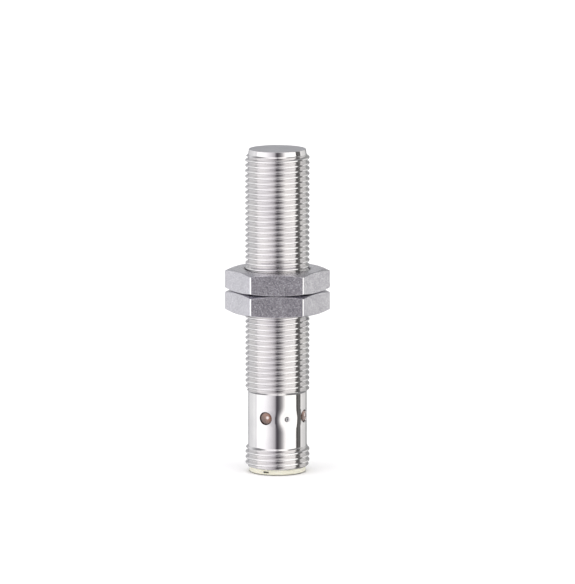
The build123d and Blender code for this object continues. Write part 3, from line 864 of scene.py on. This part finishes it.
show_in(
    moulding("black_package", (0.012, 0.012, 0.013), (0.022, 0.022, 0.024), 0.5),
    "sensor_chip", "output_transistor", "voltage_regulator", "suppressor_diodes",
)
show_in(moulding("fired_ceramic", (0.36, 0.25, 0.16), (0.47, 0.34, 0.22), 0.45), "capacitors", "resistors")
show_in(moulding("ochre_case", (0.55, 0.33, 0.05), (0.64, 0.40, 0.08), 0.35), "tantalum_capacitor")
show_in(
    moulding("indicator_lens", (0.70, 0.66, 0.50), (0.80, 0.77, 0.62), 0.15),
    "led_1", "led_2", "led_3", "led_4",
)
show_in(bare_metal("solder", (0.50, 0.50, 0.50), (0.76, 0.76, 0.76), 0.18), "solder_joints")


# Coil end.  The winding of enamelled copper on its bobbin, in a sintered ferrite pot core, in
# a dark moulded holder behind a thin insulating disc.

def wound_copper():
    """Enamelled wire, turn beside turn."""
    nodes, give = finish("wound_copper", Metallic=1.0, Coat_Weight=0.5)
    x, y, z = nodes.xyz()
    wire = (z * 52000).maths("SINE")
    shade = nodes.noise(2600.0, 3.0)
    colour = nodes.blend(nodes.ease(shade, 0.3, 0.7), (0.52, 0.22, 0.09), (0.66, 0.31, 0.14))
    rough = 0.22 + nodes.ease(shade, 0.3, 0.7, 0.0, 0.1)
    return give(Base_Color=colour, Roughness=rough, Normal=nodes.bump(wire, 0.00004, 0.8))


show_in(wound_copper(), "coil_winding")
show_in(bare_metal("copper", (0.45, 0.20, 0.12), (0.80, 0.42, 0.27), 0.2), "coil_terminals", "shield_sleeve")
show_in(
    moulding("holder_moulding", (0.022, 0.022, 0.024), (0.04, 0.04, 0.043), 0.4),
    "core_holder", "coil_bobbin",
)
show_in(moulding("ferrite", (0.028, 0.028, 0.03), (0.055, 0.055, 0.058), 0.6), "ferrite_core")
show_in(moulding("insulating_film", (0.55, 0.33, 0.07), (0.62, 0.39, 0.10), 0.25), "face_insulator")
show_in(moulding("cast_resin", (0.016, 0.016, 0.018), (0.028, 0.028, 0.03), 0.3), "potting_resin")


# Studio.  A pale floor, a room of soft panels with two narrow dark gaps between them, which
# give the polished steel its bands, and a broad overhead light for the floor.

ROOM = [
    (-180, (0.64, 0.64, 0.65)), (-158, (0.46, 0.46, 0.48)), (-144, (0.84, 0.84, 0.86)),
    (-118, (0.95, 0.95, 0.96)), (-104, (1.08, 1.08, 1.09)), (-92, (0.98, 0.97, 0.99)),
    (-87, (1.42, 1.4, 1.42)), (-54, (1.38, 1.36, 1.39)), (-42, (1.24, 1.22, 1.25)),
    (-27, (0.97, 0.94, 0.98)), (-18, (0.76, 0.73, 0.77)), (-11, (0.56, 0.54, 0.57)),
    (-7, (0.32, 0.3, 0.33)), (-4, (0.1, 0.093, 0.105)), (0, (0.085, 0.078, 0.09)),
    (4, (0.12, 0.113, 0.125)), (10, (0.23, 0.22, 0.235)), (16, (0.4, 0.385, 0.395)),
    (21, (0.64, 0.62, 0.63)), (27, (1.06, 1.035, 1.035)), (34, (1.38, 1.35, 1.34)),
    (77, (1.46, 1.44, 1.42)), (80, (0.09, 0.085, 0.08)), (84, (0.08, 0.075, 0.07)),
    (89, (0.18, 0.175, 0.17)), (101, (0.14, 0.135, 0.13)), (105, (1.06, 1.05, 1.04)),
    (118, (0.9, 0.89, 0.88)), (140, (0.8, 0.8, 0.79)), (152, (0.38, 0.38, 0.38)),
    (168, (0.38, 0.38, 0.38)), (180, (0.64, 0.64, 0.65)),
]
OVERHEAD = [
    (-180, (0.3, 0.3, 0.32)), (-100, (0.34, 0.34, 0.35)), (-80, (1.36, 1.33, 1.35)),
    (-28, (1.24, 1.2, 1.24)), (-8, (0.78, 0.75, 0.78)), (2, (0.52, 0.5, 0.53)),
    (28, (1.34, 1.31, 1.3)), (76, (1.44, 1.41, 1.39)), (86, (0.26, 0.26, 0.26)),
    (180, (0.3, 0.3, 0.31)),
]
BELOW = 0.97
BACKDROP = (1.0, 1.0, 1.0)
FLOOR_REACH = 4.0
FLOOR_Z = -0.00002
LAMP_SIZE = 2.5
LAMP_POWER = 40.0
LAMP_HEIGHT = 2.0


def room_light():
    """Panels all round, a second set above and below, and a plain white behind the sensor."""
    world = bpy.data.worlds.new("room")
    bpy.context.scene.world = world
    world.use_nodes = True
    nodes = Nodes(world.node_tree)
    direction = nodes.node("ShaderNodeTexCoord").outputs["Generated"]
    x, y, z = nodes.xyz(direction)
    turn = x.maths("ARCTAN2", y * -1) / math.tau + 0.5

    def panels(stops, gain=1.0):
        brightest = max(max(colour) for _, colour in stops)
        scaled = [((angle + 180) / 360, tuple(c / brightest for c in colour)) for angle, colour in stops]
        shades = nodes.node("ShaderNodeValToRGB", {"stops": scaled}, {0: turn}).outputs[0]
        sockets = {0: shades, "Scale": brightest * gain}
        return nodes.node("ShaderNodeVectorMath", {"operation": "SCALE"}, sockets).outputs[0]

    room = nodes.blend(nodes.ease(z, 0.45, 0.75), panels(ROOM), panels(OVERHEAD))
    room = nodes.blend(nodes.ease(z, -0.60, -0.30, 1.0, 0.0), room, panels(OVERHEAD, BELOW))
    seen = nodes.node("ShaderNodeLightPath").outputs["Is Camera Ray"]
    room = nodes.blend(seen, room, BACKDROP)
    light = nodes.node("ShaderNodeBackground", None, {"Color": room}).outputs[0]
    nodes.node("ShaderNodeOutputWorld", None, {"Surface": light})


room_light()

floor_mesh = bpy.data.meshes.new("floor")
floor_bm = bmesh.new()
floor_place = Matrix.Translation((0, 0, FLOOR_Z))
bmesh.ops.create_grid(floor_bm, x_segments=1, y_segments=1, size=FLOOR_REACH, matrix=floor_place)
floor_bm.to_mesh(floor_mesh)
floor_bm.free()
floor_nodes, floor_give = finish("floor", Roughness=0.8)
floor_mesh.materials.append(floor_give(
    Base_Color=floor_nodes.blend(floor_nodes.noise(8.0), (0.86, 0.86, 0.86), (0.88, 0.88, 0.88)),
))
floor = bpy.data.objects.new("floor", floor_mesh)
bpy.context.scene.collection.objects.link(floor)
floor.visible_glossy = False

overhead = bpy.data.lights.new("overhead", "AREA")
overhead.shape = "DISK"
overhead.size = LAMP_SIZE
overhead.energy = LAMP_POWER
overhead_lamp = bpy.data.objects.new("overhead", overhead)
overhead_lamp.location = (0, 0, LAMP_HEIGHT)
overhead_lamp.visible_glossy = False
overhead_lamp.visible_camera = False
bpy.context.scene.collection.objects.link(overhead_lamp)


# Camera.  A long lens about a metre away, a little above the sensor, turned so that the
# sensor stands slightly to the left of the middle and below it.

VIEW_DISTANCE = 1.05
VIEW_DOWN = math.radians(9.3)
LENS = 351.7
SENSOR = 36.0
ASIDE = math.radians(0.10243294)
ABOVE = math.radians(0.18377631)

lowest, highest = cad_box
middle = Vector((0, 0, (lowest[2] + highest[2]) / 2))
camera_data = bpy.data.cameras.new("camera")
camera_data.lens = LENS
camera_data.sensor_width = SENSOR
camera_data.clip_start = 0.01
camera_data.clip_end = 20.0
camera = bpy.data.objects.new("camera", camera_data)
camera.location = middle + VIEW_DISTANCE * Vector((0, -math.cos(VIEW_DOWN), math.sin(VIEW_DOWN)))
camera.rotation_euler = (math.pi / 2 - VIEW_DOWN + ABOVE, 0, -ASIDE)
bpy.context.scene.collection.objects.link(camera)
bpy.context.scene.camera = camera
bpy.context.scene.view_settings.view_transform = "Standard"
